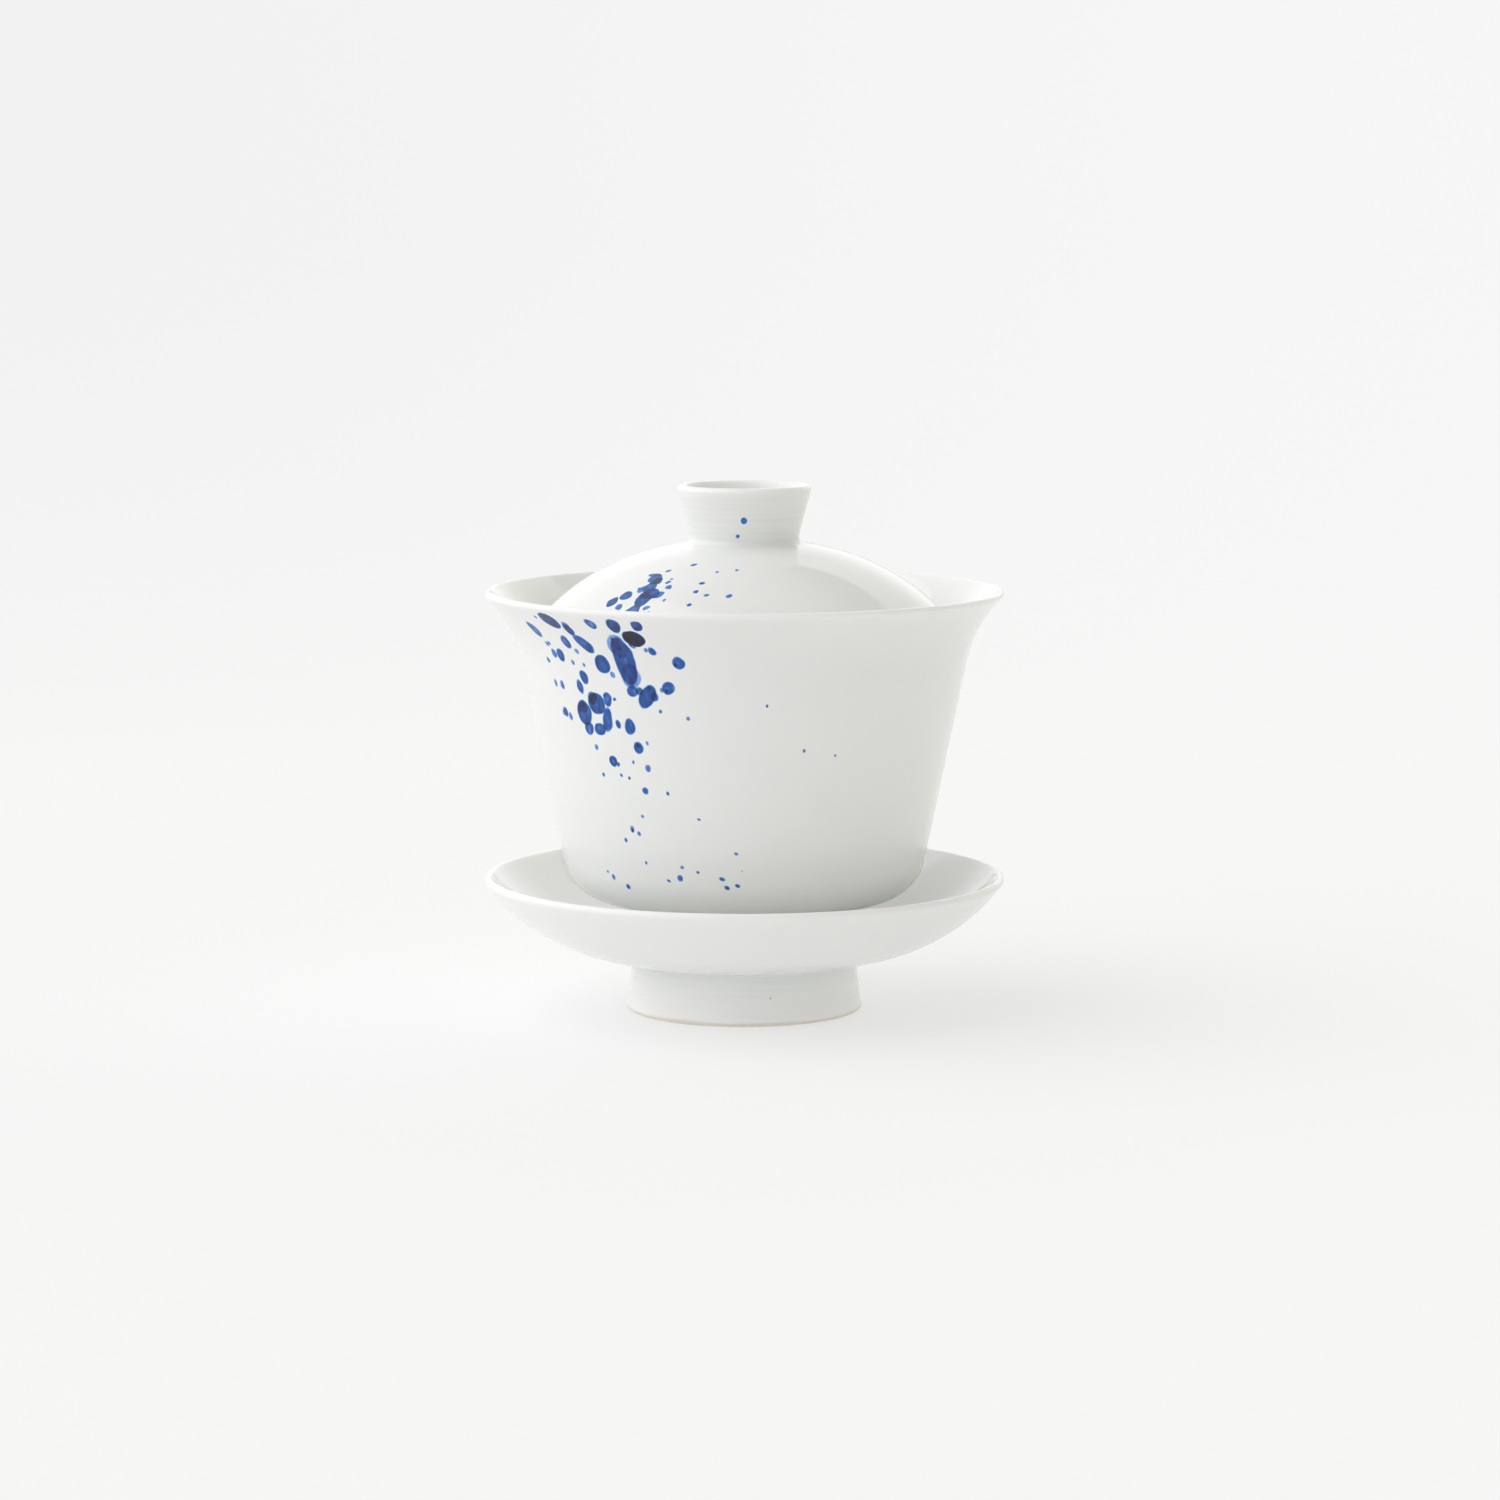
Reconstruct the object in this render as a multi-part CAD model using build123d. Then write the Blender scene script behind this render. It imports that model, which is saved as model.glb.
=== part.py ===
from build123d import *
import math
import os

# A gaiwan: a porcelain tea bowl, a lid that sits down inside the bowl's flared mouth, and a saucer
# that carries both. Each of the three is one fired piece, turned about Z.
# Millimetres, +Z up. The origin is the middle of the circle that the saucer's foot ring stands on.

# Bowl. Heights are counted from the bowl's own foot.
bowl_rim_radius = 49.95  # outside of the lip
bowl_height = 67.95
bowl_flare = 6.9  # how far the lip spreads beyond the throat
bowl_flare_height = 13.4  # from the lip down to the throat
bowl_taper = 9.25  # how much the wall draws in from the throat to the belly
bowl_belly_height = 9.7
bowl_belly_curve = 9.5  # radius of the rounded corner under the wall
bowl_wall = 2.2
bowl_lip = 1.4  # thickness to which the flare thins at the lip
bowl_floor = 3.6
bowl_foot_radius = 21.2
bowl_foot_height = 6.6  # from the foot up to the bowl's underside
bowl_foot_wall = 2.6
bowl_foot_recess = 5.2  # depth of the hollow inside the foot ring

# Lid. It hangs by its rounded edge on the inside of the bowl's flare.
lid_seat_depth = 8.5  # from the bowl's lip down to the middle of the lid's edge
lid_clearance = 0.2  # between the lid's edge and the bowl
lid_wall = 2.2
lid_rise = 17.6  # from the middle of the lid's edge up to the foot of the knob
lid_shoulder_angle = 6.0  # slope of the dome where it leaves the knob

# Knob, a hollow ring in one piece with the lid.
knob_radius = 12.95  # outside of its lip
knob_base_radius = 10.3
knob_height = 11.1
knob_wall = 2.2
knob_lip = 1.9
knob_lean = 13.0  # how far the knob's wall leans out at its foot
knob_recess = 9.4

# Saucer. Its well takes the bowl's foot, and its rim stands out past the bowl's belly for fingertips.
saucer_reach = 16.5  # from the belly's corner out to the saucer's lip
saucer_height = 26.2
saucer_lip = 1.7
saucer_floor = 4.1  # thickness above the underside, beside the foot ring
saucer_well_depth = 0.9
saucer_well_clearance = 0.8  # around the bowl's foot
saucer_ledge = 2.9  # flat ring between the well and the rising wall
saucer_foot_radius = 22.95
saucer_foot_height = 10.35
saucer_foot_draw = 1.35  # how much the foot narrows on its way up
saucer_foot_wall = 3.2
saucer_foot_recess = 9.4

# Small roundings that the turning leaves.
foot_round = 0.8
joint_round = 1.2
hollow_round = 2.4


def step(length, degrees):
    """A move in the half section, at an angle up from the outward direction."""
    return Vector(length * math.cos(math.radians(degrees)), length * math.sin(math.radians(degrees)))


def direction(start, end):
    """Angle of the straight line from start to end."""
    return math.degrees(math.atan2(end.Y - start.Y, end.X - start.X))


def angle_after_arc(start, start_angle, end):
    """Direction in which an arc that leaves start at start_angle arrives at end."""
    return 2 * direction(start, end) - start_angle


def arc_radius(start, start_angle, end):
    """Radius of the arc that leaves start at start_angle and passes through end."""
    half_turn = math.radians(abs(direction(start, end) - start_angle))
    return (end - start).length / (2 * math.sin(half_turn))


def wall_end(middle, angle, thickness):
    """Left side, tip and right side of a wall's rounded end, for a wall that runs at this angle."""
    half = thickness / 2
    return middle + step(half, angle + 90), middle + step(half, angle), middle + step(half, angle - 90)


def turned(outline, roundings):
    """Solid of revolution from the edges of a closed half section, with the given corners rounded."""
    section = make_face(outline)
    for corner, radius in roundings:
        vertex = section.vertices().sort_by_distance(corner)[0]
        section = fillet(vertex, radius)
    return revolve(Plane.XZ * section, Axis.Z)


# Heights and places that the pieces share.
well_floor = saucer_foot_height + saucer_floor - saucer_well_depth
bowl_top = well_floor + bowl_height
throat = Vector(bowl_rim_radius - bowl_flare, bowl_top - bowl_flare_height)
belly = Vector(throat.X - bowl_taper, well_floor + bowl_belly_height)
bowl_wall_angle = direction(belly, throat)
bowl_lip_middle = Vector(bowl_rim_radius - bowl_lip / 2, bowl_top - bowl_lip / 2)
throat_middle = throat + step(bowl_wall / 2, bowl_wall_angle + 90)
inner_throat = throat + step(bowl_wall, bowl_wall_angle + 90)
bowl_lip_angle = angle_after_arc(throat_middle, bowl_wall_angle, bowl_lip_middle)
bowl_lip_inside, bowl_lip_tip, bowl_lip_outside = wall_end(bowl_lip_middle, bowl_lip_angle, bowl_lip)

# The inside of the flare bends about a point outside the bowl. The lid's edge keeps its clearance
# from that bend.
flare_radius = arc_radius(inner_throat, bowl_wall_angle, bowl_lip_inside)
flare_centre = inner_throat + step(flare_radius, bowl_wall_angle - 90)
lid_edge_height = bowl_top - lid_seat_depth
lid_edge_distance = flare_radius + lid_clearance + lid_wall / 2
lid_edge_inset = math.sqrt(lid_edge_distance**2 - (lid_edge_height - flare_centre.Y) ** 2)
lid_edge_middle = Vector(flare_centre.X - lid_edge_inset, lid_edge_height)


def make_bowl():
    foot_inner_radius = bowl_foot_radius - bowl_foot_wall
    recess_top = well_floor + bowl_foot_recess
    inner_floor = well_floor + bowl_foot_height + bowl_floor
    foot_top = Vector(bowl_foot_radius, well_floor + bowl_foot_height)
    inner_wall_length = (inner_throat.Y - inner_floor) / math.sin(math.radians(bowl_wall_angle))
    inner_belly = inner_throat - step(inner_wall_length, bowl_wall_angle)
    foot_inner_edge = Vector(foot_inner_radius, well_floor)
    foot_outer_edge = Vector(bowl_foot_radius, well_floor)
    recess_corner = Vector(foot_inner_radius, recess_top)
    outline = [
        Polyline((0, inner_floor), (0, recess_top), recess_corner, foot_inner_edge, foot_outer_edge,
                 foot_top, belly, throat),
        TangentArc(throat, bowl_lip_outside, tangent=step(1, bowl_wall_angle)),
        ThreePointArc(bowl_lip_outside, bowl_lip_tip, bowl_lip_inside),
        TangentArc(inner_throat, bowl_lip_inside, tangent=step(1, bowl_wall_angle)),
        Polyline(inner_throat, inner_belly, (0, inner_floor)),
    ]
    roundings = [
        (recess_corner, joint_round),
        (foot_inner_edge, foot_round),
        (foot_outer_edge, foot_round),
        (foot_top, joint_round),
        (belly, bowl_belly_curve),
        (inner_belly, bowl_belly_curve),
    ]
    return turned(outline, roundings)


def make_lid():
    knob_foot = Vector(knob_base_radius, lid_edge_height + lid_rise)
    dome_middle = knob_foot + step(lid_wall / 2, -lid_shoulder_angle - 90)
    edge_angle = angle_after_arc(dome_middle, -lid_shoulder_angle, lid_edge_middle)
    dome_side, edge_tip, hollow_side = wall_end(lid_edge_middle, edge_angle, lid_wall)
    hollow_shoulder = knob_foot + step(lid_wall, -lid_shoulder_angle - 90)
    crown_rise = hollow_shoulder.X * math.tan(math.radians(lid_shoulder_angle / 2))
    crown = Vector(0, hollow_shoulder.Y + crown_rise)

    knob_top = knob_foot.Y + knob_height
    knob_lip_middle = Vector(knob_radius - knob_lip / 2, knob_top - knob_lip / 2)
    knob_wall_angle = 90 - knob_lean
    knob_middle = knob_foot + step(knob_wall / 2, knob_wall_angle + 90)
    knob_lip_angle = angle_after_arc(knob_middle, knob_wall_angle, knob_lip_middle)
    recess_side, knob_tip, knob_side = wall_end(knob_lip_middle, knob_lip_angle, knob_lip)
    recess_floor = knob_top - knob_recess
    recess_foot = knob_foot + step(knob_wall, knob_wall_angle + 90)
    recess_wall_foot = (recess_floor - recess_foot.Y) / math.sin(math.radians(knob_wall_angle))
    recess_corner = recess_foot + step(recess_wall_foot, knob_wall_angle)
    outline = [
        Line((0, recess_floor), crown),
        TangentArc(crown, hollow_shoulder, tangent=(1, 0)),
        TangentArc(hollow_shoulder, hollow_side, tangent=step(1, -lid_shoulder_angle)),
        ThreePointArc(hollow_side, edge_tip, dome_side),
        TangentArc(knob_foot, dome_side, tangent=step(1, -lid_shoulder_angle)),
        TangentArc(knob_foot, knob_side, tangent=step(1, knob_wall_angle)),
        ThreePointArc(knob_side, knob_tip, recess_side),
        TangentArc(recess_corner, recess_side, tangent=step(1, knob_wall_angle)),
        Line(recess_corner, (0, recess_floor)),
    ]
    roundings = [(knob_foot, joint_round), (recess_corner, hollow_round)]
    return turned(outline, roundings)


def make_saucer():
    rim_radius = belly.X + saucer_reach
    ledge_height = well_floor + saucer_well_depth
    well_radius = bowl_foot_radius + saucer_well_clearance
    foot_top = Vector(saucer_foot_radius - saucer_foot_draw, saucer_foot_height)
    lip_middle = Vector(rim_radius - saucer_lip / 2, saucer_height - saucer_lip / 2)
    lip_angle = angle_after_arc(foot_top + Vector(0, saucer_lip / 2), 0, lip_middle)
    inner_side, tip, outer_side = wall_end(lip_middle, lip_angle, saucer_lip)
    ledge_edge = Vector(well_radius + saucer_ledge, ledge_height)
    foot_inner_radius = saucer_foot_radius - saucer_foot_wall
    foot_inner_edge = Vector(foot_inner_radius, 0)
    foot_outer_edge = Vector(saucer_foot_radius, 0)
    recess_corner = Vector(foot_inner_radius, saucer_foot_recess)
    well_corner = Vector(well_radius, well_floor)
    ledge_corner = Vector(well_radius, ledge_height)
    outline = [
        Polyline((0, well_floor), (0, saucer_foot_recess), recess_corner, foot_inner_edge,
                 foot_outer_edge, foot_top),
        TangentArc(foot_top, outer_side, tangent=(1, 0)),
        ThreePointArc(outer_side, tip, inner_side),
        TangentArc(ledge_edge, inner_side, tangent=(1, 0)),
        Polyline(ledge_edge, ledge_corner, well_corner, (0, well_floor)),
    ]
    roundings = [
        (recess_corner, hollow_round),
        (foot_inner_edge, foot_round),
        (foot_outer_edge, foot_round),
        (foot_top, joint_round),
        (ledge_corner, saucer_well_depth / 2),
    ]
    return turned(outline, roundings)


pieces = {"saucer": make_saucer(), "bowl": make_bowl(), "lid": make_lid()}

os.makedirs("parts", exist_ok=True)
for name, piece in pieces.items():
    export_step(piece, f"parts/{name}.step")
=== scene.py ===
import math
import random

import bmesh
import bpy
import numpy as np
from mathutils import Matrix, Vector


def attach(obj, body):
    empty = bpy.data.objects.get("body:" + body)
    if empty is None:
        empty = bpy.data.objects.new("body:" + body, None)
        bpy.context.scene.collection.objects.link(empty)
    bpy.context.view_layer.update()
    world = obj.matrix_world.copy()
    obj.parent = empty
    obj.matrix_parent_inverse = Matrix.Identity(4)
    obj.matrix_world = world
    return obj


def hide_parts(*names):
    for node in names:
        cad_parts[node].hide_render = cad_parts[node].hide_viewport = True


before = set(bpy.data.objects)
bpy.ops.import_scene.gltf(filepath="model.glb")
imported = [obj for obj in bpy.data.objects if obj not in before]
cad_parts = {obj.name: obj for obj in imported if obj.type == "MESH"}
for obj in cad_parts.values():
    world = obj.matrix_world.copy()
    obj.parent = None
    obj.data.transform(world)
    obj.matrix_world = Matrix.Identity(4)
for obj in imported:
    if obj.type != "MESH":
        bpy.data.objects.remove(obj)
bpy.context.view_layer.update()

# Gaiwan: saucer, tea bowl and lid, three pieces of glazed porcelain. Each one is turned again here
# from the half section of its CAD node, with the marks that throwing and glazing leave.
# Scene units are metres. Outlines, marks and splashes are worked out in millimetres.
mm = 0.001
segmentsAround = 160  # columns of faces round each piece
print("frame loaded:", ", ".join(sorted(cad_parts)))


def linearColour(hexCode):
    # sRGB hex, as picked on screen, to the linear light that shaders mix
    levels = [int(hexCode[i:i + 2], 16) / 255 for i in (1, 3, 5)]
    linear = [v / 12.92 if v <= 0.04045 else ((v + 0.055) / 1.055) ** 2.4 for v in levels]
    return (*linear, 1)


def addNode(tree, kind, inputs=None, **settings):
    # one node with its settings; an input is a number or the socket that feeds it
    node = tree.nodes.new(kind)
    for name, value in settings.items():
        setattr(node, name, value)
    for socket, value in (inputs or {}).items():
        if isinstance(value, bpy.types.NodeSocket):
            tree.links.new(value, node.inputs[socket])
        else:
            node.inputs[socket].default_value = value
    return node


def smoothStep(low, high, value):
    share = np.clip((value - low) / (high - low), 0, 1)
    return share * share * (3 - 2 * share)


outlineWork = {
    "weld": 1e-7,  # metres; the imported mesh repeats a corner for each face
    "straightRun": 3.0,  # mm; a longer run is straight and takes extra points
    "straightStep": 2.0,  # mm between those points
    "straightTurn": math.radians(0.05),  # less of a turn than this is no corner
    "poolReach": 2.2,  # mm over which melted glaze levels itself out
    "sharpestBend": 1.5,  # radians per mm; a tighter one holds no more glaze than this
    "glazeLineBlur": 0.12,  # mm
    "ringFade": 0.6,  # mm of height over which throwing rings come and go
    "ringFadeInward": 0.8,  # mm of radius over which they do
    "mapRadius": 40.0,  # mm; the splash map is drawn at true size on a wall this far from the axis
    "leastMapRadius": 4.0,  # mm; nearer the axis the splash map stops spreading
}


def halfSection(nodeName):
    # The node's outline as (radius, height): from the axis under the piece, up the outside and back
    # to the axis along the inside.
    cut = bmesh.new()
    cut.from_mesh(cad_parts[nodeName].data)
    bmesh.ops.remove_doubles(cut, verts=cut.verts, dist=outlineWork["weld"])
    for normal, clearInner in (((1, 0, 0), True), ((0, 1, 0), False)):
        everything = cut.verts[:] + cut.edges[:] + cut.faces[:]
        bmesh.ops.bisect_plane(cut, geom=everything, dist=outlineWork["weld"] / 10, plane_co=(0, 0, 0),
                               plane_no=normal, clear_inner=clearInner)
    neighbours = {}
    for edge in cut.edges:
        if all(abs(v.co.y) < outlineWork["weld"] for v in edge.verts):
            first, second = edge.verts
            neighbours.setdefault(first, []).append(second)
            neighbours.setdefault(second, []).append(first)
    ends = [v for v in neighbours if len(neighbours[v]) == 1]
    path = [min(ends, key=lambda v: v.co.z)]
    while len(path) == 1 or path[-1] not in ends:
        path.append(next(v for v in neighbours[path[-1]] if v not in path[-2:]))
    outline = np.array([(v.co.x, v.co.z) for v in path]) / mm
    cut.free()
    steps = np.diff(outline, axis=0)
    headings = np.unwrap(np.arctan2(steps[:, 1], steps[:, 0]))
    corners = np.abs(np.diff(headings)) > outlineWork["straightTurn"]
    return outline[np.concatenate(([True], corners, [True]))]


def smoothOutline(outline, ringSpacing):
    # A cubic B-spline over the outline's points takes out the facets and softens each corner a
    # little, as glaze does. Mirroring the ends keeps it level where it meets the axis.
    points = [outline[0]]
    for start, end in zip(outline[:-1], outline[1:]):
        length = math.dist(start, end)
        straight = length > outlineWork["straightRun"]
        parts = math.ceil(length / outlineWork["straightStep"]) if straight else 1
        points += [start + (end - start) * k / parts for k in range(1, parts + 1)]
    mirror = np.array((-1, 1))
    points = np.array([points[1] * mirror, *points, points[-2] * mirror])
    rings = []
    for a, b, c, d in zip(points[:-3], points[1:-2], points[2:-1], points[3:]):
        steps = max(1, round(math.dist(b, c) / ringSpacing))
        for t in np.arange(steps) / steps:
            rings.append((a * (1 - t)**3 + b * (3 * t**3 - 6 * t**2 + 4)
                          + c * (3 * t + 3 * t**2 - 3 * t**3 + 1) + d * t**3) / 6)
    rings.append((points[-3] + 4 * points[-2] + points[-1]) / 6)
    rings = np.array(rings)
    rings[[0, -1], 0] = 0
    return rings


def outlineFacts(rings):
    # what the mesh and the glaze need to know at each ring of the outline
    steps = np.diff(rings, axis=0)
    along = np.concatenate(([0], np.cumsum(np.hypot(*steps.T))))
    tangents = np.gradient(rings, along, axis=0)
    tangents /= np.hypot(*tangents.T)[:, None]
    outward = np.stack((tangents[:, 1], -tangents[:, 0]), axis=1)
    turning = np.gradient(np.unwrap(np.arctan2(tangents[:, 1], tangents[:, 0])), along)
    # Melted glaze runs off sharp edges and gathers in hollows, over about its own reach.
    weights = np.exp(-((along[:, None] - along[None, :]) / outlineWork["poolReach"])**2)
    weights *= np.gradient(along)[None, :]
    bend = outlineWork["sharpestBend"]
    pool = -(weights @ np.clip(turning, -bend, bend)) / weights.sum(axis=1)
    top = int(np.argmax(rings[:, 1]))
    # The splash map stretches height as much as width, so a round drop stays round at any radius.
    spread = outlineWork["mapRadius"] / np.maximum(rings[:, 0], outlineWork["leastMapRadius"])
    mapHeight = np.concatenate(([0], np.cumsum((spread[1:] + spread[:-1]) / 2 * np.diff(along))))
    return {"rings": rings, "along": along, "outward": outward, "pool": pool, "top": top,
            "down": along[top] - along, "spread": spread, "mapHeight": mapHeight - mapHeight[top]}


def turnedMarks(facts, piece, seed):
    # Depth in mm of the throwing rings and of the slow unevenness of a hand-held rib, for each ring
    # and column. They only go inward, so the piece stays within its CAD size. The second result says
    # how clearly the fine tool lines show at each ring.
    rng = random.Random(seed)
    along, height, radius = facts["along"][:, None], facts["rings"][:, 1:2], facts["rings"][:, 0:1]
    turn = np.linspace(0, 2 * math.pi, segmentsAround, endpoint=False)[None, :]
    depth = np.zeros((len(facts["rings"]), segmentsAround))
    lines = np.full((len(facts["rings"]), 1), piece["plainLines"])
    fade, fadeInward = outlineWork["ringFade"], outlineWork["ringFadeInward"]
    for zone in piece["throwingRings"]:
        inside = smoothStep(zone["from"] - fade, zone["from"] + fade, height)
        inside = inside * smoothStep(zone["to"] + fade, zone["to"] - fade, height)
        inside = inside * smoothStep(zone["beyond"] - fadeInward, zone["beyond"] + fadeInward, radius)
        wave = 0
        for share, weight in ((1.0, 0.5), (0.62, 0.3), (1.7, 0.4)):
            sway = zone["pitch"] * 0.25 * np.sin(turn + rng.uniform(0, 6.28))
            rise = 2 * math.pi * (along + sway) / (zone["pitch"] * share)
            wave = wave + weight * np.sin(rise + rng.uniform(0, 6.28))
        depth = depth + inside * zone["depth"] * (0.6 + 0.5 * wave)
        lines = np.maximum(lines, inside * zone["lines"])
    slow = 0
    for lobes, reach in ((2, 25), (3, 40), (5, 18)):
        slow = slow + np.sin(lobes * turn + along / reach + rng.uniform(0, 6.28)) / 3
    return np.clip(depth, 0, None) + piece["unevenness"] * (1.6 + slow), lines


def turnPiece(name, nodeName, piece, seed):
    facts = outlineFacts(smoothOutline(halfSection(nodeName), piece["ringSpacing"]))
    rings, outward = facts["rings"], facts["outward"]
    depth, lines = turnedMarks(facts, piece, seed)
    turn = np.linspace(-math.pi, math.pi, segmentsAround, endpoint=False)  # 0 faces -Y, the front
    # The glaze stops short of the foot ring, where the bare clay lies lower by the glaze's thickness.
    glazeLine = rings[:, 1].min() + piece["bareFoot"]["height"]
    waver = piece["bareFoot"]["waver"] * (np.sin(3 * turn + seed) + np.sin(7 * turn + 2 * seed)) / 2
    blur = outlineWork["glazeLineBlur"]
    bare = smoothStep(blur, -blur, rings[:, 1:2] - glazeLine - waver[None, :])
    bare = bare * (piece["bareFoot"]["height"] > 0)
    radius = rings[:, 0:1] - outward[:, 0:1] * (depth * (1 - bare) + piece["bareFoot"]["step"] * bare)
    height = rings[:, 1:2] - outward[:, 1:2] * depth * (1 - bare)
    x, y = radius * np.sin(turn), -radius * np.cos(turn)
    places = np.stack((x, y, height), axis=2)[1:-1].reshape(-1, 3)
    poles = np.array([(0, 0, height[0].mean()), (0, 0, height[-1].mean())])
    ringCount = len(rings) - 2
    firstPole, lastPole = ringCount * segmentsAround, ringCount * segmentsAround + 1

    faces, corners = [], []  # corners hold (ring, column) for the maps
    for j in range(segmentsAround):
        k = (j + 1) % segmentsAround
        faces.append((firstPole, k, j))
        corners += [(0, j + 0.5), (1, j + 1), (1, j)]
        for i in range(ringCount - 1):
            low, high = i * segmentsAround, (i + 1) * segmentsAround
            faces.append((low + j, low + k, high + k, high + j))
            corners += [(i + 1, j), (i + 1, j + 1), (i + 2, j + 1), (i + 2, j)]
        last = (ringCount - 1) * segmentsAround
        faces.append((last + j, last + k, lastPole))
        corners += [(ringCount, j), (ringCount, j + 1), (ringCount + 1, j + 0.5)]
    mesh = bpy.data.meshes.new(name)
    mesh.from_pydata((np.concatenate((places, poles)) * mm).tolist(), [], faces)
    ringOf, columnOf = np.array(corners).T
    ringOf = ringOf.astype(int)
    share = columnOf / segmentsAround
    maps = {
        "OFBake": (share, facts["along"][ringOf] / facts["along"][-1]),
        "splashMap": ((share - 0.5) * 2 * math.pi * outlineWork["mapRadius"], facts["mapHeight"][ringOf]),
    }
    for mapName, (across, up) in maps.items():
        layer = mesh.uv_layers.new(name=mapName)
        layer.data.foreach_set("uv", np.stack((across, up), axis=1).astype(np.float32).ravel())
    surfaceFacts = {"glazePool": facts["pool"][:, None], "bareClay": bare, "toolLines": lines}
    for attributeName, values in surfaceFacts.items():
        values = np.broadcast_to(values, depth.shape)
        column = np.concatenate((values[1:-1].ravel(), [values[0].mean(), values[-1].mean()]))
        attribute = mesh.attributes.new(attributeName, "FLOAT", "POINT")
        attribute.data.foreach_set("value", column.astype(np.float32))
    mesh.shade_smooth()
    turned = bpy.data.objects.new(name, mesh)
    bpy.context.scene.collection.objects.link(turned)
    print(f"turned {name}: {len(rings)} rings, {len(faces)} faces")
    return turned, facts


# Porcelain under a clear feldspar glaze: near-white body, glass on top. The eye gets a clean soft
# white with sharp small highlights, a breath of blue-green where the glass lies thick, and a cleaner
# white where it has run thin off an edge.
glazedPorcelain = {
    "thinGlaze": "#efefee",  # over edges
    "evenGlaze": "#ecedeb",
    "pooledGlaze": "#e6eae8",  # in hollows
    "poolGain": 0.7,  # how soon a hollow shows its colour
    "cloudScale": 0.06,  # per mm, for the slow change of the white
    "ior": 1.5,
    "roughness": 0.04,  # fired glass
    "handledScale": 0.12,  # per mm, for patches where hands have dulled the gloss
    "translucency": 0.3,  # thin porcelain lets light through, which lifts its hollows
    "lightDepth": 1.0,  # mm that light travels in the body
    "lightDepthColours": (1.0, 0.92, 0.85),  # red goes furthest
    "rippleSize": 9.0,  # mm between swells of the glaze
    "ripple": 0.010,  # mm high
    "grainSize": 0.9,  # mm; real orange peel is finer, coarser here so that it shows
    "grain": 0.0008,
    "linePitch": 0.55,  # mm between the tool's fine lines; real ones are finer still
    "lineDraw": 0.03,  # how far the lines are drawn out round the piece; smaller is longer
    "line": 0.016,
    "lineTone": 0.3,  # how much more glaze the lines hold
    "speckSpacing": 14.0,  # mm between iron specks
    "speckSize": 0.16,  # mm
    "speckColour": "#8c7d68",
    "biscuit": "#e4ddd2",  # bare fired clay of the foot ring
    "biscuitRoughness": 0.8,
    "clayGrainScale": 2.5,  # per mm
}

# Cobalt oxide flicked from a loaded brush under the glaze. Thin fringes are pale, one layer is a
# clear blue, and where drops meet the pigment goes to navy and nearly black. The glass on top adds
# its own white gleam, so the pigment itself is stronger than it looks.
bowlCobalt = {
    "fringe": "#a9c2e2",
    "thin": "#6391d0",
    "single": "#1d57a4",
    "double": "#0f2f74",
    "heavy": "#101c42",
    "darkest": "#08090e",
    "tonePlaces": {"thin": 0.16, "single": 0.34, "double": 0.56, "heavy": 0.78},  # share of the most
    "mostLayers": 2.6,  # layers of pigment at the darkest tone
    "coveringLayer": 0.22,  # the least pigment that hides the white
    "softEdge": 0.2,  # mm over which a drop's edge bleeds
    "wander": 0.13,  # mm by which a drop's outline strays
    "wanderSize": 2.4,  # mm
    "streakSize": 1.1,  # mm; real streaks are finer, coarser here so that they show
    "streak": 0.3,
    "streakDraw": 0.35,  # streaks are drawn out to three times their width down the wall
    "paleMiddle": 0.35,  # share of the pigment that a drying drop moves out to its edge
    "evenAt": 0.6,  # share of the way out at which a drop holds its even layer
    "widestBleed": 0.45,  # share of a large drop's half width
    "widestSprayBleed": 0.6,  # share of a fine drop's radius
}

# On the lid the pigment lies thinner, so it is a purer blue, and its outlines stray further.
lidCobalt = dict(bowlCobalt, thin="#2c78c8", single="#00509c", double="#003a80", heavy="#00245e",
                 darkest="#00113c", mostLayers=3.6, wander=0.4, softEdge=0.14)


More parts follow.
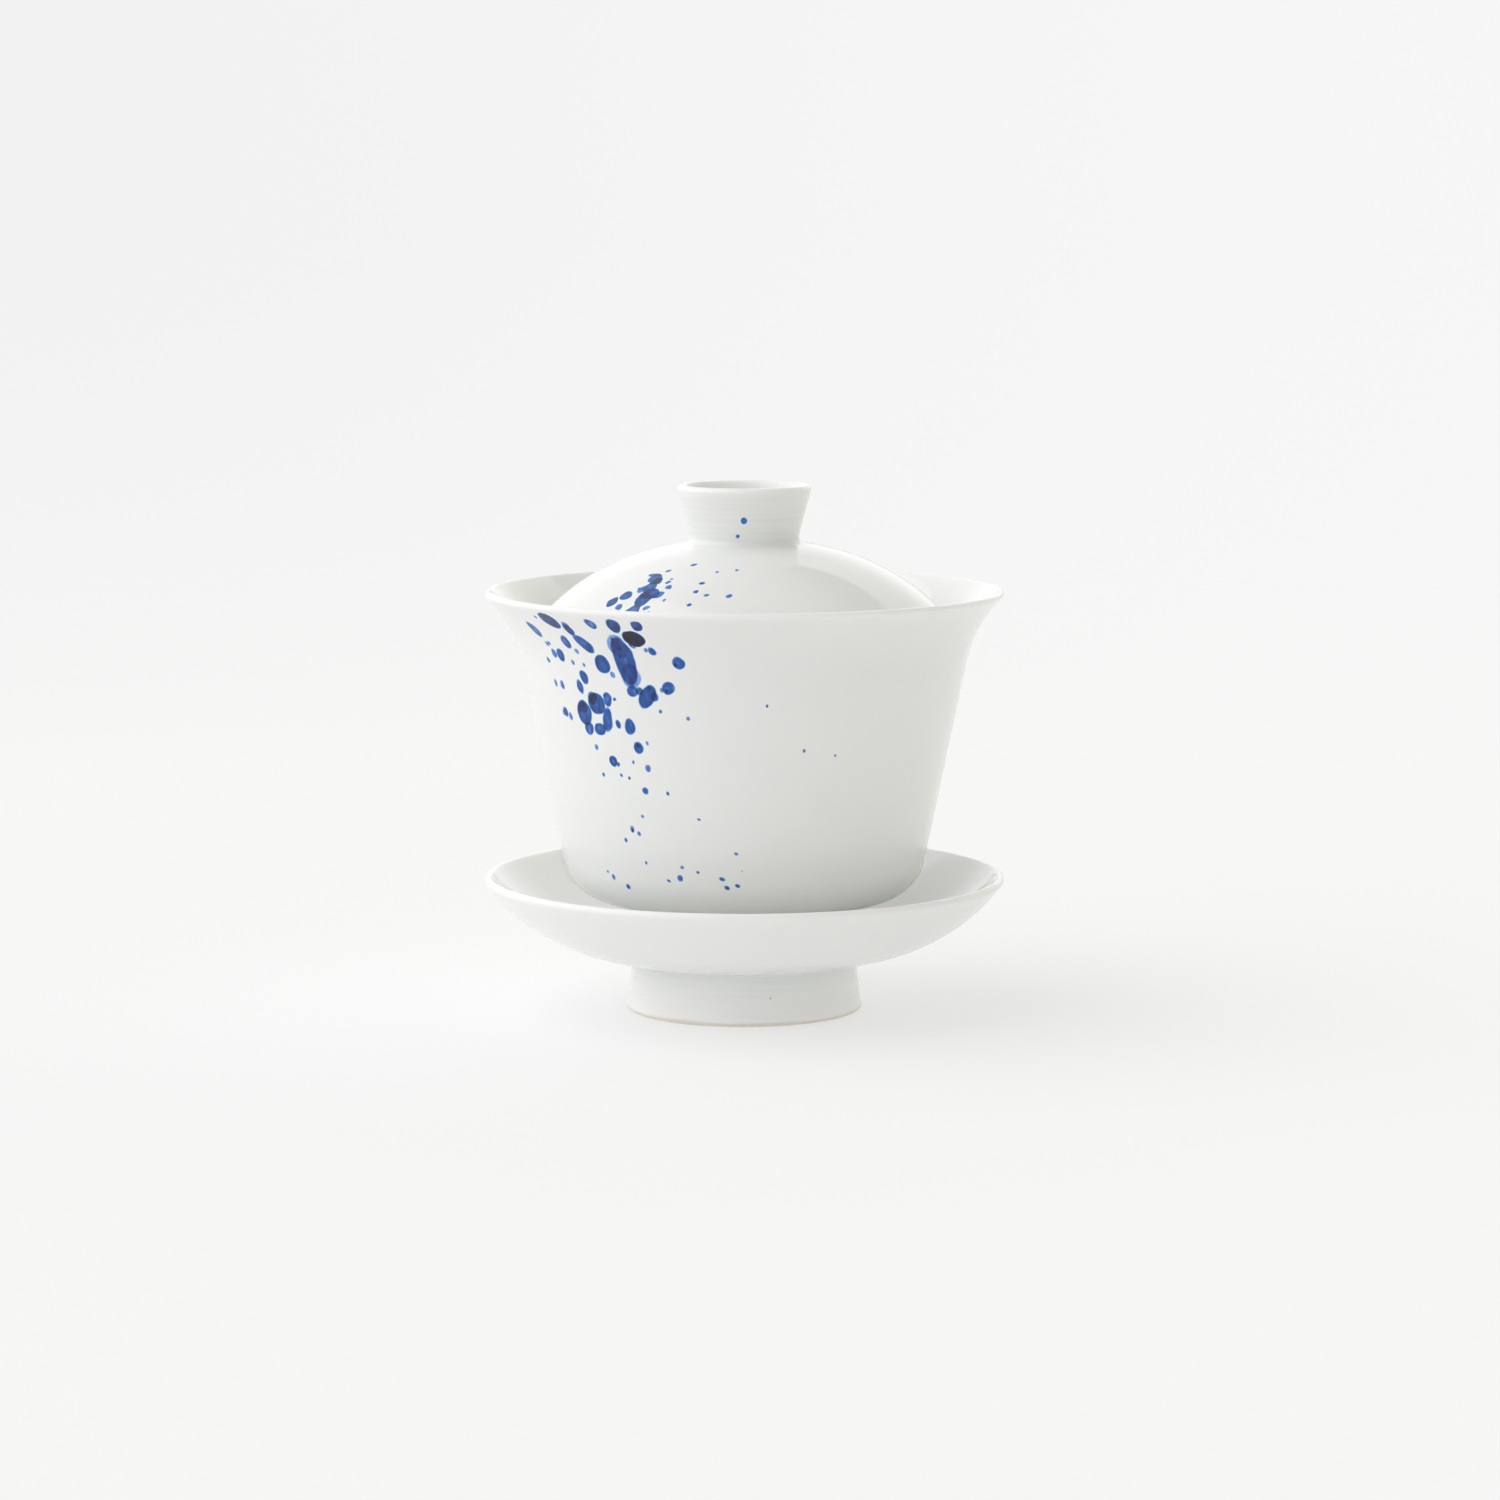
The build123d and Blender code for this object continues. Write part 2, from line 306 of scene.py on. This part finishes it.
def porcelainShader(materialName, splashes, cobalt):
    # clear-glazed porcelain, with the given cobalt splashes under the glaze
    glaze = glazedPorcelain
    material = bpy.data.materials.new(materialName)
    material.use_nodes = True
    tree = material.node_tree
    tree.nodes.clear()
    place = addNode(tree, "ShaderNodeTexCoord").outputs["Object"]
    inMm = addNode(tree, "ShaderNodeVectorMath", {0: place, "Scale": 1 / mm}, operation="SCALE").outputs[0]

    pool = addNode(tree, "ShaderNodeAttribute", attribute_name="glazePool").outputs["Fac"]
    cloud = addNode(tree, "ShaderNodeTexNoise", {"Vector": inMm, "Scale": glaze["cloudScale"],
                                                 "Detail": 2.0}).outputs["Fac"]
    cloudTone = addNode(tree, "ShaderNodeMapRange", {"Value": cloud, 1: 0.3, 2: 0.7, 3: 0.4,
                                                     4: 0.6}).outputs[0]
    drawnOut = (glaze["lineDraw"], glaze["lineDraw"], 1)
    flatRound = addNode(tree, "ShaderNodeVectorMath", {0: inMm, 1: drawnOut},
                        operation="MULTIPLY").outputs[0]
    line = addNode(tree, "ShaderNodeTexNoise", {"Vector": flatRound, "Scale": 1 / glaze["linePitch"],
                                                "Detail": 2.0}).outputs["Fac"]
    lineShare = addNode(tree, "ShaderNodeAttribute", attribute_name="toolLines").outputs["Fac"]
    lineFill = addNode(tree, "ShaderNodeMapRange", {"Value": line, 1: 0.3, 2: 0.7, 3: -glaze["lineTone"],
                                                    4: glaze["lineTone"]}).outputs[0]
    fillTone = addNode(tree, "ShaderNodeMath", {0: lineFill, 1: lineShare, 2: cloudTone},
                       operation="MULTIPLY_ADD").outputs[0]
    poolTone = addNode(tree, "ShaderNodeMath", {0: pool, 1: glaze["poolGain"], 2: fillTone},
                       operation="MULTIPLY_ADD").outputs[0]
    glazeTone = addNode(tree, "ShaderNodeValToRGB", {"Fac": poolTone})
    stops = glazeTone.color_ramp.elements
    stops[0].color = linearColour(glaze["thinGlaze"])
    stops[1].color = linearColour(glaze["pooledGlaze"])
    stops.new(0.5).color = linearColour(glaze["evenGlaze"])
    colour = glazeTone.outputs["Color"]

    specks = addNode(tree, "ShaderNodeTexVoronoi", {"Vector": inMm, "Scale": 1 / glaze["speckSpacing"]})
    speckEdge = glaze["speckSize"] / glaze["speckSpacing"]
    speck = addNode(tree, "ShaderNodeMapRange", {"Value": specks.outputs["Distance"], 1: speckEdge * 1.6,
                                                 2: speckEdge * 0.5, 3: 0.0, 4: 0.8}).outputs[0]
    colour = addNode(tree, "ShaderNodeMix", {"Factor": speck, "A": colour,
                                             "B": linearColour(glaze["speckColour"])},
                     data_type="RGBA").outputs["Result"]
    translucency = glaze["translucency"]
    if splashes:
        colour, cover = underCobalt(tree, colour, inMm, splashes, cobalt)
        # pigment keeps the light from the body under it
        translucency = addNode(tree, "ShaderNodeMapRange", {"Value": cover, 1: 0.0, 2: 1.0, 3: translucency,
                                                            4: 0.0}).outputs[0]

    bare = addNode(tree, "ShaderNodeAttribute", attribute_name="bareClay").outputs["Fac"]
    clayGrain = addNode(tree, "ShaderNodeTexNoise", {"Vector": inMm, "Scale": glaze["clayGrainScale"],
                                                     "Detail": 3.0}).outputs["Fac"]
    bareTone = addNode(tree, "ShaderNodeMapRange", {"Value": clayGrain, 1: 0.3, 2: 0.7, 3: 0.86,
                                                    4: 1.0}).outputs[0]
    clayColour = addNode(tree, "ShaderNodeVectorMath", {0: linearColour(glaze["biscuit"])[:3],
                                                        "Scale": bareTone}, operation="SCALE").outputs[0]
    colour = addNode(tree, "ShaderNodeMix", {"Factor": bare, "A": colour, "B": clayColour},
                     data_type="RGBA").outputs["Result"]
    handled = addNode(tree, "ShaderNodeTexNoise", {"Vector": inMm, "Scale": glaze["handledScale"],
                                                   "Detail": 4.0}).outputs["Fac"]
    gloss = addNode(tree, "ShaderNodeMapRange", {"Value": handled, 1: 0.3, 2: 0.7,
                                                 3: glaze["roughness"] * 0.7,
                                                 4: glaze["roughness"] * 1.5}).outputs[0]
    roughness = addNode(tree, "ShaderNodeMix", {"Factor": bare, "A": gloss, "B": glaze["biscuitRoughness"]})

    # The bump is the glaze's swell, its orange peel and the tool lines that run round the piece.
    ripple = addNode(tree, "ShaderNodeTexNoise", {"Vector": inMm, "Scale": 1 / glaze["rippleSize"],
                                                  "Detail": 1.0}).outputs["Fac"]
    grain = addNode(tree, "ShaderNodeTexNoise", {"Vector": inMm, "Scale": 1 / glaze["grainSize"],
                                                 "Detail": 1.0}).outputs["Fac"]
    lineDepth = addNode(tree, "ShaderNodeMath", {0: lineShare, 1: glaze["line"] / glaze["ripple"]},
                        operation="MULTIPLY").outputs[0]
    height = addNode(tree, "ShaderNodeMath", {0: grain, 1: glaze["grain"] / glaze["ripple"], 2: ripple},
                     operation="MULTIPLY_ADD").outputs[0]
    height = addNode(tree, "ShaderNodeMath", {0: line, 1: lineDepth, 2: height},
                     operation="MULTIPLY_ADD").outputs[0]
    bump = addNode(tree, "ShaderNodeBump", {"Strength": 1.0, "Distance": glaze["ripple"] * mm,
                                            "Height": height})

    shader = addNode(tree, "ShaderNodeBsdfPrincipled", {"Base Color": colour, "IOR": glaze["ior"],
                                                        "Roughness": roughness.outputs["Result"],
                                                        "Subsurface Weight": translucency,
                                                        "Subsurface Scale": glaze["lightDepth"] * mm,
                                                        "Subsurface Radius": glaze["lightDepthColours"],
                                                        "Normal": bump.outputs["Normal"]})
    addNode(tree, "ShaderNodeOutputMaterial", {"Surface": shader.outputs["BSDF"]})
    return material


def underCobalt(tree, glazeColour, inMm, splashes, cobalt):
    # Each drop adds its layer of pigment, so that overlaps go darker. The map they are drawn on is
    # bent by noise first, which takes the drawn look off the outlines of the larger ones.
    splashMap = addNode(tree, "ShaderNodeUVMap", uv_map="splashMap").outputs["UV"]
    wander = addNode(tree, "ShaderNodeTexNoise", {"Vector": inMm, "Scale": 1 / cobalt["wanderSize"],
                                                  "Detail": 0.0}).outputs["Color"]
    centred = addNode(tree, "ShaderNodeVectorMath", {0: wander, 1: (0.5, 0.5, 0.5)}, operation="SUBTRACT")
    sway = 4 * cobalt["wander"]  # the noise seldom strays further than a quarter from its middle
    flat = addNode(tree, "ShaderNodeVectorMath", {0: centred.outputs[0], 1: (sway, sway, 0)},
                   operation="MULTIPLY")
    bent = addNode(tree, "ShaderNodeVectorMath", {0: splashMap, 1: flat.outputs[0]},
                   operation="ADD").outputs[0]
    pigment = 0.0
    for drop in splashes["large"]:
        local = addNode(tree, "ShaderNodeMapping", {"Vector": bent, "Rotation": (0, 0, drop["lean"]),
                                                    "Location": (drop["across"], drop["up"], 0),
                                                    "Scale": (drop["halfWidth"], drop["halfLength"], 1)},
                        vector_type="TEXTURE").outputs[0]
        reach = addNode(tree, "ShaderNodeVectorMath", {0: local}, operation="LENGTH").outputs["Value"]
        edge = min(cobalt["widestBleed"], cobalt["softEdge"] * drop["spread"] / drop["halfWidth"])
        inside = addNode(tree, "ShaderNodeMapRange", {"Value": reach, 1: 1 + edge, 2: 1 - edge, 3: 0.0,
                                                      4: 1.0}, interpolation_type="SMOOTHSTEP").outputs[0]
        outer = drop["layers"] * cobalt["paleMiddle"]
        layer = addNode(tree, "ShaderNodeMath", {0: reach, 1: outer,
                                                 2: drop["layers"] - outer * cobalt["evenAt"]},
                        operation="MULTIPLY_ADD").outputs[0]
        pigment = addNode(tree, "ShaderNodeMath", {0: inside, 1: layer, 2: pigment},
                          operation="MULTIPLY_ADD").outputs[0]
    for spray in splashes["sprays"]:
        slanted = addNode(tree, "ShaderNodeMapping", {"Vector": bent, "Rotation": (0, 0, spray["lean"]),
                                                      "Scale": (1, spray["stretch"], 1)},
                          vector_type="TEXTURE")
        for drop in spray["drops"]:
            away = addNode(tree, "ShaderNodeVectorMath", {0: slanted.outputs[0], 1: drop["centre"]},
                           operation="DISTANCE").outputs["Value"]
            edge = min(cobalt["widestSprayBleed"] * drop["radius"], cobalt["softEdge"] * drop["spread"])
            layer = addNode(tree, "ShaderNodeMapRange", {"Value": away, 1: drop["radius"] + edge,
                                                         2: drop["radius"] - edge, 3: 0.0,
                                                         4: drop["layers"]},
                            interpolation_type="SMOOTHSTEP").outputs[0]
            pigment = addNode(tree, "ShaderNodeMath", {0: pigment, 1: layer}, operation="ADD").outputs[0]
    # the brush leaves streaks that run down the wall
    streakPlace = addNode(tree, "ShaderNodeVectorMath", {0: inMm, 1: (1, 1, cobalt["streakDraw"])},
                          operation="MULTIPLY").outputs[0]
    streak = addNode(tree, "ShaderNodeTexNoise", {"Vector": streakPlace, "Scale": 1 / cobalt["streakSize"],
                                                  "Detail": 3.0}).outputs["Fac"]
    uneven = addNode(tree, "ShaderNodeMapRange", {"Value": streak, 1: 0.3, 2: 0.7, 3: 1 - cobalt["streak"],
                                                  4: 1 + cobalt["streak"]}).outputs[0]
    layers = addNode(tree, "ShaderNodeMath", {0: pigment, 1: uneven}, operation="MULTIPLY").outputs[0]
    share = addNode(tree, "ShaderNodeMath", {0: layers, 1: cobalt["mostLayers"]}, operation="DIVIDE")
    tones = addNode(tree, "ShaderNodeValToRGB", {"Fac": share.outputs[0]})
    stops = tones.color_ramp.elements
    stops[0].color = linearColour(cobalt["fringe"])
    stops[1].color = linearColour(cobalt["darkest"])
    for tone, position in cobalt["tonePlaces"].items():
        stops.new(position).color = linearColour(cobalt[tone])
    cover = addNode(tree, "ShaderNodeMapRange", {"Value": layers, 1: 0.0, 2: cobalt["coveringLayer"],
                                                 3: 0.0, 4: 1.0}).outputs[0]
    colour = addNode(tree, "ShaderNodeMix", {"Factor": cover, "A": glazeColour, "B": tones.outputs["Color"]},
                     data_type="RGBA").outputs["Result"]
    return colour, cover


def onSplashMap(facts, around, down):
    # Degrees round from the front and mm down the outside from the piece's highest point, to the
    # splash map, with how much the map is spread there.
    order = slice(facts["top"], None, -1)
    up = float(np.interp(down, facts["down"][order], facts["mapHeight"][order]))
    spread = float(np.interp(down, facts["down"][order], facts["spread"][order]))
    return math.radians(around) * outlineWork["mapRadius"], up, spread


def flickedSplashes(facts, piece, seed):
    # the large drops, as listed, then the finer spray that each flick of the brush throws off
    rng = random.Random(seed)
    large, sprays = [], []
    for around, down, length, width, lean, layers in piece["largeDrops"]:
        across, up, spread = onSplashMap(facts, around, down)
        large.append({"across": across, "up": up, "lean": -math.radians(lean), "spread": spread,
                      "halfWidth": width / 2 * spread, "halfLength": length / 2 * spread,
                      "layers": layers})
    for flick in piece["sprays"]:
        lean = -math.radians(flick["lean"])
        drops = []
        for _ in range(flick["count"]):
            around = rng.gauss(flick["around"], flick["spreadAround"])
            down = abs(rng.gauss(flick["down"], flick["spreadDown"]))
            across, up, spread = onSplashMap(facts, around, down)
            size = flick["least"] + (flick["most"] - flick["least"]) * rng.random()**2
            centre = (across * math.cos(lean) + up * math.sin(lean),
                      (up * math.cos(lean) - across * math.sin(lean)) / flick["stretch"], 0)
            drops.append({"centre": centre, "radius": size / 2 * spread, "spread": spread,
                          "layers": rng.uniform(0.5, 1.0)})
        sprays.append({"lean": lean, "stretch": flick["stretch"], "drops": drops})
    return {"large": large, "sprays": sprays}


saucerPiece = {
    "ringSpacing": 0.3,
    "unevenness": 0.016,  # mm
    "plainLines": 0.1,  # how clearly tool lines show outside the throwing rings
    "throwingRings": [  # heights, radius, pitch and depth in mm
        {"from": 1.2, "to": 9.8, "beyond": 20.8, "pitch": 2.2, "depth": 0.035, "lines": 1.0},
        {"from": 10.0, "to": 25.0, "beyond": 23.5, "pitch": 4.5, "depth": 0.008, "lines": 0.12},
    ],
    "bareFoot": {"height": 0.75, "waver": 0.1, "step": 0.07},
}


def makeSaucer():
    saucer, facts = turnPiece("glazedSaucer", "saucer", saucerPiece, 3)
    saucer.data.materials.append(porcelainShader("clearGlazedPorcelain", None, None))
    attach(saucer, "saucer")
    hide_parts("saucer")


bowlPiece = {
    "ringSpacing": 0.45,
    "unevenness": 0.016,
    "plainLines": 0.08,
    "throwingRings": [
        {"from": 24.0, "to": 80.0, "beyond": 30.0, "pitch": 7.0, "depth": 0.008, "lines": 0.1},
    ],
    "bareFoot": {"height": 0.75, "waver": 0.1, "step": 0.07},
    # around (degrees), down (mm), length, width (mm), lean (degrees), layers of pigment
    "largeDrops": [
        (-49, 4, 5.2, 3.2, -58, 1.6),  # caught under the lip
        (-58, 7, 4.0, 1.9, -50, 1.0),
        (-44, 6, 2.8, 1.6, -40, 1.3),
        (-36, 4, 2.6, 2.0, -50, 0.9),
        (-41, 9, 4.8, 2.4, -50, 1.0),
        (-47, 9, 2.8, 2.0, -30, 1.0),
        (-51, 12, 2.4, 1.9, -20, 1.1),
        (-37, 13, 3.7, 3.3, 5, 1.1),
        (-30, 4, 3.4, 2.6, 0, 1.4),  # the flick that ran: a dark head and a long blue tail
        (-26, 7, 4.4, 3.4, -65, 2.5),
        (-24, 4, 2.3, 2.3, 0, 1.3),
        (-30, 12, 9.8, 4.4, -10, 1.0),
        (-31, 9, 5.2, 4.2, -10, 0.3),
        (-29, 15, 4.8, 4.0, -10, 0.3),
        (-29, 18, 2.3, 2.3, 0, 0.8),
        (-16, 12, 2.4, 2.4, 0, 0.9),
        (-19, 17, 2.5, 2.5, 0, 0.9),
        (-25, 19, 4.9, 2.8, 30, 1.1),
        (-31, 25, 3.0, 2.2, 0, 1.0),
        (-29, 29, 2.2, 1.8, 0, 0.9),
        (-38, 32, 2.0, 1.7, 0, 1.2),
        (-41, 21, 4.2, 4.0, 0, 1.2),  # drops that met in a ring
        (-42, 20, 2.4, 2.2, 0, 0.7),
        (-46, 23, 4.8, 3.6, 0, 1.1),
        (-46, 22, 2.4, 2.2, 0, 0.6),
        (-38, 24, 4.6, 2.2, 8, 0.9),
        (-41, 26, 2.4, 2.8, 0, 1.0),
        (-45, 26, 2.4, 2.2, 0, 0.9),
        (-37, 20, 2.6, 1.9, 0, 0.9),
        (-44, 16, 2.6, 1.8, -20, 1.0),
        (-46, 18, 2.6, 1.4, -20, 0.9),
    ],
    "sprays": [
        {"around": -45, "down": 10, "spreadAround": 7, "spreadDown": 5, "count": 13,
         "least": 0.6, "most": 1.6, "stretch": 1.3, "lean": -40},
        {"around": -57, "down": 21, "spreadAround": 4, "spreadDown": 5, "count": 5,
         "least": 0.7, "most": 1.2, "stretch": 1.4, "lean": -20},
        {"around": -24, "down": 14, "spreadAround": 4, "spreadDown": 5, "count": 9,
         "least": 0.6, "most": 1.5, "stretch": 1.1, "lean": 0},
        {"around": -34, "down": 34, "spreadAround": 5, "spreadDown": 6, "count": 16,
         "least": 0.5, "most": 1.5, "stretch": 1.2, "lean": -10},
        {"around": -31, "down": 51, "spreadAround": 9, "spreadDown": 5, "count": 9,
         "least": 0.4, "most": 0.9, "stretch": 1.2, "lean": -20},
        {"around": -8, "down": 52, "spreadAround": 8, "spreadDown": 4, "count": 7,
         "least": 0.4, "most": 0.7, "stretch": 1.5, "lean": -65},
        {"around": 14, "down": 32, "spreadAround": 10, "spreadDown": 14, "count": 3,
         "least": 0.4, "most": 0.5, "stretch": 1.3, "lean": 0},
    ],
}


def makeBowl():
    bowl, facts = turnPiece("glazedBowl", "bowl", bowlPiece, 5)
    splashes = flickedSplashes(facts, bowlPiece, 11)
    bowl.data.materials.append(porcelainShader("cobaltSplashedPorcelainBowl", splashes, bowlCobalt))
    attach(bowl, "bowl")
    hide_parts("bowl")


lidPiece = {
    "ringSpacing": 0.3,
    "unevenness": 0.016,
    "plainLines": 0.08,
    "throwingRings": [
        {"from": 91.5, "to": 100.6, "beyond": 9.8, "pitch": 2.0, "depth": 0.03, "lines": 1.0},
        {"from": 73.0, "to": 90.0, "beyond": 13.0, "pitch": 5.0, "depth": 0.006, "lines": 0.08},
    ],
    "bareFoot": {"height": 0.0, "waver": 0.0, "step": 0.0},
    "largeDrops": [
        (-38, 29, 2.6, 2.6, 0, 1.2),  # one flick, from near the knob out to the edge
        (-36, 30, 2.4, 2.0, 0, 1.6),
        (-36, 32, 3.4, 2.0, 0, 1.1),
        (-34, 34, 3.4, 3.6, 0, 1.2),
        (-35, 36, 4.0, 3.4, 0, 1.3),
        (-36, 39, 4.4, 3.0, 0, 1.1),
        (-31, 34, 2.0, 2.4, 0, 0.7),
        (-43, 35, 2.2, 2.8, 0, 1.3),
        (-47, 37, 3.0, 2.6, 0, 1.4),
        (-40, 28, 1.4, 3.0, 0, 1.0),
        (0, 7, 1.2, 1.2, 0, 0.8),
        (-7, 10, 0.7, 0.7, 0, 0.7),
    ],
    "sprays": [
        {"around": -36, "down": 33, "spreadAround": 6, "spreadDown": 4, "count": 12,
         "least": 0.5, "most": 1.4, "stretch": 1.3, "lean": 60},
        {"around": -20, "down": 30, "spreadAround": 9, "spreadDown": 5, "count": 12,
         "least": 0.5, "most": 1.2, "stretch": 1.2, "lean": 60},
    ],
}


def makeLid():
    lid, facts = turnPiece("glazedLid", "lid", lidPiece, 8)
    splashes = flickedSplashes(facts, lidPiece, 21)
    lid.data.materials.append(porcelainShader("cobaltSplashedPorcelainLid", splashes, lidCobalt))
    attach(lid, "lid")
    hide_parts("lid")


# A paper floor under soft daylight from the left. The lit wall behind stands up to some 40 degrees,
# with a dimmer ceiling over it, and the glaze mirrors the line between them.
stageParts = {
    "floorRadius": 12.0,  # m
    "fadeFrom": 0.4,  # m from the middle, where the paper floor starts to melt into the distance
    "fadeTo": 10.0,
    "paper": "#b6b6b6",
    "paperGlow": 0.46,  # the paper lies on a light table, which keeps the shadow faint
    "paperRoughness": 0.9,
    "sunFrom": (-0.72, -0.11, 0.69),
    "sunStrength": 0.8,  # W per square metre
    "sunAngle": 75.0,  # degrees across, as a large window close by
}

# The room's tones, and the part of the direction's X, Y or Z over which one blends into the next.
roomTones = {
    "window": 1.15,  # the lit side, at -X
    "front": 0.5,
    "right": 0.76,
    "wall": (1.4, 1.12),  # behind, low down and at its top
    "ceiling": (1.1, 0.32),  # over the window and over the dim side
    "overhead": 0.7,
    "far": (0.885, 0.925),  # of the distance beyond the floor, left and right
    "warmShade": "#f9f6ea",
    "windowToFront": (-0.85, 0.1),
    "frontToRight": (0.2, 0.8),
    "sideToWall": (0.15, 0.5),
    "wallRise": (0.2, 0.5),
    "acrossCeiling": (-0.3, 0.2),
    "ceilingToOverhead": (0.75, 0.98),
    "wallTop": (0.63, 0.66),
    "acrossFar": (-0.16, 0.16),
    "farToRoom": (0.04, 0.14),
    "whiteToWarm": (0.15, 0.8),
}


def makeStage():
    bpy.ops.mesh.primitive_circle_add(vertices=96, radius=stageParts["floorRadius"], fill_type="NGON")
    floor = bpy.context.active_object
    floor.name = "paperFloor"
    material = bpy.data.materials.new("matPaper")
    material.use_nodes = True
    tree = material.node_tree
    tree.nodes.clear()
    place = addNode(tree, "ShaderNodeTexCoord").outputs["Object"]
    distance = addNode(tree, "ShaderNodeVectorMath", {0: place}, operation="LENGTH").outputs["Value"]
    # counted in one over the distance, so that the change spreads evenly up to the horizon
    nearness = addNode(tree, "ShaderNodeMath", {0: 1.0, 1: distance}, operation="DIVIDE").outputs[0]
    fade = addNode(tree, "ShaderNodeMapRange", {"Value": nearness, 1: 1 / stageParts["fadeFrom"],
                                                2: 1 / stageParts["fadeTo"], 3: 0.0, 4: 1.0}).outputs[0]
    paper = addNode(tree, "ShaderNodeBsdfPrincipled", {"Base Color": linearColour(stageParts["paper"]),
                                                       "Roughness": stageParts["paperRoughness"],
                                                       "Specular IOR Level": 0.1,
                                                       "Emission Color": (1, 1, 1, 1),
                                                       "Emission Strength": stageParts["paperGlow"]})
    clear = addNode(tree, "ShaderNodeBsdfTransparent")
    mixed = addNode(tree, "ShaderNodeMixShader", {0: fade, 1: paper.outputs[0], 2: clear.outputs[0]})
    addNode(tree, "ShaderNodeOutputMaterial", {"Surface": mixed.outputs[0]})
    floor.data.materials.append(material)


def makeLight():
    world = bpy.data.worlds.new("daylitRoom")
    bpy.context.scene.world = world
    world.use_nodes = True
    tree = world.node_tree
    tree.nodes.clear()
    direction = addNode(tree, "ShaderNodeTexCoord").outputs["Generated"]
    toward = addNode(tree, "ShaderNodeSeparateXYZ", {0: direction}).outputs

    tones = roomTones
    # each share runs smoothly from 0 to 1 over its part of the direction
    shares = {}
    for name, axis in (("windowToFront", "X"), ("frontToRight", "X"), ("sideToWall", "Y"), ("wallRise", "Z"),
                       ("acrossCeiling", "X"), ("ceilingToOverhead", "Z"), ("wallTop", "Z"),
                       ("acrossFar", "X"), ("farToRoom", "Z"), ("whiteToWarm", "X")):
        low, high = tones[name]
        shares[name] = addNode(tree, "ShaderNodeMapRange", {"Value": toward[axis], 1: low, 2: high},
                               interpolation_type="SMOOTHSTEP").outputs[0]
    side = addNode(tree, "ShaderNodeMix", {"Factor": shares["frontToRight"], "A": tones["front"],
                                           "B": tones["right"]}).outputs["Result"]
    side = addNode(tree, "ShaderNodeMix", {"Factor": shares["windowToFront"], "A": tones["window"],
                                           "B": side}).outputs["Result"]
    wall = addNode(tree, "ShaderNodeMix", {"Factor": shares["wallRise"], "A": tones["wall"][0],
                                           "B": tones["wall"][1]}).outputs["Result"]
    walls = addNode(tree, "ShaderNodeMix", {"Factor": shares["sideToWall"], "A": side,
                                            "B": wall}).outputs["Result"]
    ceiling = addNode(tree, "ShaderNodeMix", {"Factor": shares["acrossCeiling"], "A": tones["ceiling"][0],
                                              "B": tones["ceiling"][1]}).outputs["Result"]
    ceiling = addNode(tree, "ShaderNodeMix", {"Factor": shares["ceilingToOverhead"], "A": ceiling,
                                              "B": tones["overhead"]}).outputs["Result"]
    upper = addNode(tree, "ShaderNodeMix", {"Factor": shares["wallTop"], "A": walls,
                                            "B": ceiling}).outputs["Result"]
    far = addNode(tree, "ShaderNodeMix", {"Factor": shares["acrossFar"], "A": tones["far"][0],
                                          "B": tones["far"][1]}).outputs["Result"]
    room = addNode(tree, "ShaderNodeMix", {"Factor": shares["farToRoom"], "A": far,
                                           "B": upper}).outputs["Result"]
    # the plain distance stands behind the piece from every side, and the room only lights it
    seen = addNode(tree, "ShaderNodeLightPath").outputs["Is Camera Ray"]
    tone = addNode(tree, "ShaderNodeMix", {"Factor": seen, "A": room, "B": far}).outputs["Result"]
    tint = addNode(tree, "ShaderNodeMix", {"Factor": shares["whiteToWarm"], "A": (1, 1, 1, 1),
                                           "B": linearColour(tones["warmShade"])}, data_type="RGBA")
    light = addNode(tree, "ShaderNodeBackground", {"Color": tint.outputs["Result"], "Strength": tone})
    addNode(tree, "ShaderNodeOutputWorld", {"Surface": light.outputs[0]})

    sun = bpy.data.lights.new("windowLight", "SUN")
    sun.energy = stageParts["sunStrength"]
    sun.angle = math.radians(stageParts["sunAngle"])
    lamp = bpy.data.objects.new("windowLight", sun)
    lamp.rotation_euler = (-Vector(stageParts["sunFrom"])).to_track_quat("-Z", "Y").to_euler()
    bpy.context.scene.collection.objects.link(lamp)


def makeCamera():
    view = {"place": (0.0011, -0.9101, 0.1646), "pitchDown": 7.16, "lens": 113.9, "sensor": 36.0}
    camera = bpy.data.objects.new("camera", bpy.data.cameras.new("camera"))
    camera.data.lens = view["lens"]
    camera.data.sensor_width = view["sensor"]
    camera.location = view["place"]
    camera.rotation_euler = (math.radians(90 - view["pitchDown"]), 0, 0)
    bpy.context.scene.collection.objects.link(camera)
    bpy.context.scene.camera = camera
    bpy.context.scene.view_settings.view_transform = "Standard"


makeCamera()
makeSaucer()
makeBowl()
makeLid()
print("three pieces glazed")
makeStage()
makeLight()
print("floor and lights set")
